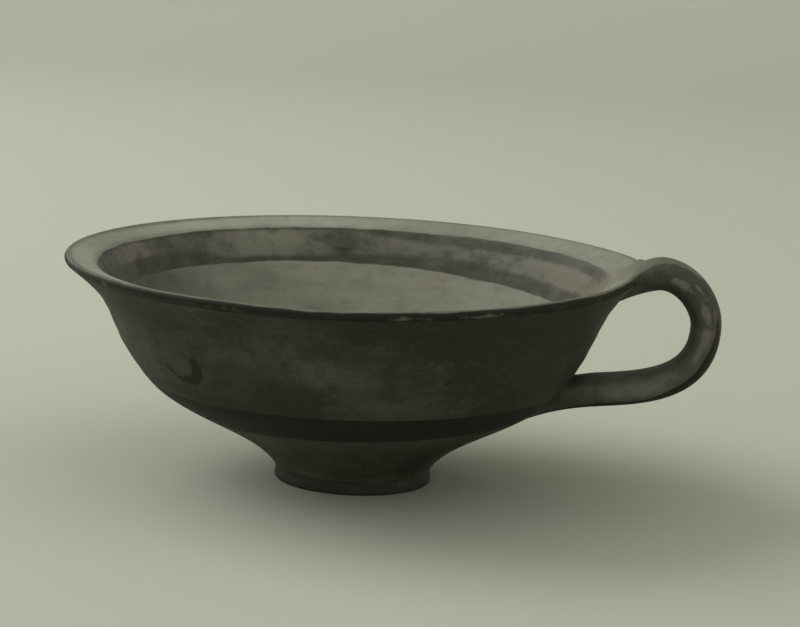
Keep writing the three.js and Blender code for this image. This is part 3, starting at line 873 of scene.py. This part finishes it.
# Thinly brushed stretches of the strap, in the same terms
THIN = ((62, 208, 17, 52, 0.95), (30, 165, 16, 32, 0.15), (60, 335, 20, 45, 0.6),
        (78, 200, 8, 60, 0.5))


def patches(distance, angle, places):
    """The greatest of smooth patches placed along and round the strap, each by its own depth."""
    most = np.zeros(np.broadcast(distance, angle).shape)
    for middle, turn, length, breadth, depth in places:
        most = np.maximum(most, depth * bump(distance, middle, length)
                          * bump(degrees_from(angle, turn), 0, breadth))
    return most


plain_slip(strap)
set_attribute(strap, "cover", strap_cover(strap_at, strap_turn))
set_attribute(strap, "worn", patches(strap_at, strap_turn, RUBBED_AND_HIGHLIGHT))
set_attribute(strap, "thin", patches(strap_at, strap_turn, THIN))
set_attribute(strap, "double", strap_dark_coat_and_shade(strap_at, strap_turn))
set_attribute(strap, "soiled", np.full(strap_at.shape, 1.0))
strap.data.materials.append(painted_clay("slip_painted_handle_clay", wear=0.15))
close_poles(strap, STRAP_COLUMNS)
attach(strap, "root")
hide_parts("strap_handle")


# At the lip, soft clay was pressed over and under the edge and drawn out along the rim, so that
# the strap's flat top runs down onto the lip in one sweep.
UPPER_FOOTPRINT = {"middle": 0.0, "front": 22.0, "back": 15.0, "outer": 8.5, "inner": 10.5}
UPPER_NARROWING = 3.0
UPPER_PULLS = (0.45, 0.4)
TONGUE_HALF_AT_LIP = 88
# The clay stands a hair proud of the strap at its ring, starts a little before it and sunk into
# it, covers the lip by so much, and dives under the bowl's surface at its far edge
RING_PROUD = 0.03
RING_OVERLAP = 2.4
RING_SUNK = -0.06
LUTING_COVER = 1.1
COVER_SUNK = 0.15
LUTING_SINK = 0.25
LUTING_SHELL = 0.8
FILLET_ROWS = 40
SHELL_EVERY = 6
# Only the outline within so many mm of the lip counts when the cover is measured
NEAR_LIP = 30.0
# Clay is pushed clear in so many steps, the first of them evened out. Each step moves a point by
# a share of what is short, with a soft start, and evening keeps this share of its own move.
CLEAR_STEPS = 24
EVENED_STEPS = 20
CLEAR_SHARE = 0.6
CLEAR_SOFTNESS = 0.1
CLEAR_OWN_SHARE = 0.4
CLEAR_FADE = 0.3


def surface_place(footprint, centre, angle, share, narrowing=1.0):
    """A point of the bowl's surface on a ring round a root: azimuth in radians from its arc
    length at the root's radius, and distance along the outline. Four half-lengths set the ring's
    reach to each side, and narrowing draws its lower half to a point under the strap."""
    side = np.where(np.cos(angle) > 0, footprint["back"], footprint["front"])
    up, down = np.maximum(np.sin(angle), 0), np.maximum(-np.sin(angle), 0)
    azimuth = share * side * np.cos(angle) / centre
    reach = footprint["outer"] * up - footprint["inner"] * down ** narrowing
    return azimuth, footprint["middle"] + share * reach


def above_bowl(points):
    """Distance in mm of points from the bowl's surface, below nothing inside the clay: the least
    distance to the strokes of the outline, signed by the side of the nearest stroke."""
    straight = points
    for _ in range(4):
        straight = points - (out_of_true(straight) - straight)
    radius = np.hypot(straight[..., 0], straight[..., 1])
    at = np.stack([radius, straight[..., 2]], -1)[..., None, :]
    lip = outline[np.abs(along_outline) < NEAR_LIP]
    first, stroke = lip[:-1], np.diff(lip, axis=0)
    t = np.clip(((at - first) * stroke).sum(-1) / (stroke ** 2).sum(-1), 0, 1)
    gap = at - first - t[..., None] * stroke
    distance = np.linalg.norm(gap, axis=-1)
    side = stroke[:, 1] * gap[..., 0] - stroke[:, 0] * gap[..., 1]
    nearest = distance.argmin(-1)[..., None]
    return (np.take_along_axis(distance, nearest, -1)
            * np.sign(np.take_along_axis(side, nearest, -1)))[..., 0]


def clear_of_bowl(points, angle, cover):
    """Moves points out until cover mm of clay lies over the bowl: upwards from the lip's face,
    outwards round its edge and downwards under it. Each step is a share of what is short, taken
    by a smooth greater of that and none, and is then evened out with the neighbouring points.
    The moves fade out towards the far edge, which lies on the bowl already."""
    radius = np.hypot(points[..., 0], points[..., 1])
    radial = points[..., :2] / radius[..., None]
    edge = smooth_step(radius, RIM_RADIUS - 5, RIM_RADIUS + 1)
    up = np.concatenate([radial * 0.6 * edge[..., None], np.ones(edge.shape + (1,))], -1)
    under = np.broadcast_to(-0.8 * np.maximum(-np.sin(angle), 0), edge.shape)[..., None]
    out = np.concatenate([radial, under], -1)
    rising = smooth_step(np.sin(angle), -0.3, 0.3)[..., None]
    away = rising * up + (1 - rising) * out
    away = away / np.linalg.norm(away, axis=-1, keepdims=True)
    moves = np.zeros(points.shape)
    neighbour_share = (1 - CLEAR_OWN_SHARE) / 4
    for step in range(CLEAR_STEPS):
        short = np.clip((cover - above_bowl(points + moves)) / CLEAR_SOFTNESS, -30, 30)
        stride = CLEAR_SHARE * CLEAR_SOFTNESS * np.logaddexp(0, short)
        moves += stride[..., None] * away
        if step < EVENED_STEPS:
            beside = np.roll(moves, 1, axis=1) + np.roll(moves, -1, axis=1)
            around = beside[1:-1] + moves[:-2] + moves[2:]
            moves[1:-1] = CLEAR_OWN_SHARE * moves[1:-1] + neighbour_share * around
            moves[[0, -1]] = 0
    to_edge = np.linspace(1, 0, len(points))[:, None, None]
    return points + moves * smooth_step(to_edge, 0, CLEAR_FADE)


def under_bowl(azimuth, place):
    """A point one millimetre under the bowl's surface, square to its outline."""
    before, after = bowl_surface(azimuth, place - 0.6), bowl_surface(azimuth, place + 0.6)
    round_axis = np.stack([-np.sin(azimuth), np.cos(azimuth), 0 * azimuth], -1)
    down = np.cross(after - before, round_axis)
    return bowl_surface(azimuth, place) + down / np.linalg.norm(down, axis=-1, keepdims=True)


def collar_curves(footprint, centre, ring, towards, pulls, narrowing, cover, wiped):
    """For each angle round the strap, a cubic curve that leaves the strap along its length and
    meets the bowl's surface along that surface, most at its sides, and on its outer face too
    where it was wiped down. Rows run along the curves. It returns them, and the distance along
    the bowl's outline at which each ends."""
    angle = angles[0]
    start, heading = strap_ring(np.full(STRAP_COLUMNS, ring), angle, RING_PROUD)
    azimuth, along = surface_place(footprint, centre, angle, 1.0, narrowing)
    end = bowl_surface(azimuth, along)
    inward = bowl_surface(*surface_place(footprint, centre, angle, 0.93, narrowing)) - end
    inward /= np.linalg.norm(inward, axis=1, keepdims=True)
    span = np.linalg.norm(end - start, axis=1, keepdims=True)
    sideways, under = np.abs(np.cos(angle))[:, None], np.maximum(-np.sin(angle), 0)[:, None]
    leaving = pulls[0] - (0.2 * sideways + 0.3 * under) * (cover > 0)
    arriving = pulls[1] * np.maximum(0.25 + 0.75 * sideways, wiped * np.sin(angle)[:, None])
    first = start + heading * towards * span * leaving
    second = end + inward * span * arriving
    t = np.linspace(0, 1, FILLET_ROWS)[:, None, None]
    fillet = ((1 - t) ** 3 * start + 3 * (1 - t) ** 2 * t * first
              + 3 * (1 - t) * t * t * second + t ** 3 * end)
    if cover:
        wanted = cover * (4 * t * (1 - t))[..., 0] ** 1.5 - COVER_SUNK
        fillet = clear_of_bowl(fillet, angle, wanted)
    dive = (under_bowl(azimuth, along) - end) * LUTING_SINK
    return fillet + dive * smooth_step(t, 0.75, 1), along


def luting_collar(name, footprint, centre, ring, towards, pulls, narrowing=1.0, cover=0.0, wiped=0):
    """A smooth collar of clay between the strap and the bowl. Its mesh starts just under the
    strap's surface, follows the curves to the bowl and returns a little under its own surface,
    inside the clay, so that it is closed. It comes with each row's share of the way to the bowl."""
    fillet, along = collar_curves(footprint, centre, ring, towards, pulls, narrowing, cover, wiped)
    on_strap = np.full(STRAP_COLUMNS, ring - towards * RING_OVERLAP)
    before = strap_ring(on_strap, angles[0], RING_SUNK)[0]
    beside = np.roll(fillet, -1, axis=1) - np.roll(fillet, 1, axis=1)
    outward = np.cross(beside, np.gradient(fillet, axis=0))
    outward /= np.linalg.norm(outward, axis=-1, keepdims=True)
    outward *= np.sign(((fillet[0] - fillet[0].mean(0)) * outward[0]).sum())
    under_side = (fillet - LUTING_SHELL * outward)[::-SHELL_EVERY]
    surface = np.concatenate([before[None], fillet, under_side])
    piece = grid_mesh(name, in_frame(surface), close_u=True, close_v=True, flip=towards > 0)
    piece.data.set_sharp_from_angle(angle=math.radians(50))
    t = np.linspace(0, 1, FILLET_ROWS)
    blend = np.concatenate([[0], t, t[::-SHELL_EVERY]])[:, None]
    return piece, angles, blend, along[None, :]


upper, turn, blend, along = luting_collar(
    "upper_luting_clay", UPPER_FOOTPRINT, RIM_RADIUS, UPPER_RING, -1, UPPER_PULLS,
    UPPER_NARROWING, LUTING_COVER)
plain_slip(upper)
share = smooth_step(blend, 0.0, 1.0)
from_strap = np.full(blend.shape, UPPER_RING)
from_strap[0] += RING_OVERLAP
# The bare tongue of the strap widens over the luting until it takes in the lip's whole face
bare = (1 - share) * bare_half(from_strap) + TONGUE_HALF_AT_LIP * share
slipped = (np.abs(degrees_from(turn, 90)) - bare) * (STRAP_MM_PER_DEGREE + 0.15 * share)
# Towards its far edge it takes on the lip's own slip edge, dark band and soiling
lip_slip = SLIP_EDGE_FRONT + SLIP_EDGE_MORE_BEHIND * (np.cos(turn) > 0) - along
set_attribute(upper, "cover", slipped + (lip_slip - slipped) * share ** 2)
set_attribute(upper, "double", np.minimum(along + LIP_BAND_WIDTH, lip_slip) - 9 * (1 - share))
lip_soil = np.maximum(0.85 * smooth_step(RIM_SOIL_WIDTH - along, 0, 1.2), 0.38)
set_attribute(upper, "soiled", 1 + (lip_soil - 1) * share)
set_attribute(upper, "worn", (1 - share) * patches(from_strap, turn, RUBBED_AND_HIGHLIGHT))
set_attribute(upper, "thin", (1 - share) * patches(from_strap, turn, THIN) - 0.15 * share)
upper.data.materials.append(painted_clay("slip_painted_upper_luting_clay", wear=0.15))
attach(upper, "root")
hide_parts("upper_luting")


# Low on the wall the strap's end was pressed on and its underside wiped down onto the bowl, so it
# is smooth below and at the sides and leaves a tight corner on top.
LOWER_FOOTPRINT = {"middle": float(place_at_height(LOWER_ROOT[1], False)),
                   "front": 12.5, "back": 12.5, "outer": -31.0, "inner": -5.6}
LOWER_PULLS = (0.4, 0.36)

lower, turn, blend, along = luting_collar(
    "lower_luting_clay", LOWER_FOOTPRINT, LOWER_ROOT[0], LOWER_RING, 1, LOWER_PULLS, wiped=1)
plain_slip(lower)
share = smooth_step(blend, 0.0, 1.0)
set_attribute(lower, "worn", (1 - share) * patches(LOWER_RING, turn, RUBBED_AND_HIGHLIGHT))
set_attribute(lower, "thin", (1 - share) * patches(LOWER_RING, turn, THIN) - 0.15 * share)
set_attribute(lower, "double", (1 - share) * strap_dark_coat_and_shade(LOWER_RING, turn) - 4 * share)
lower.data.materials.append(painted_clay("slip_painted_lower_luting_clay", wear=0.15))
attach(lower, "root")
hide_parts("lower_luting")
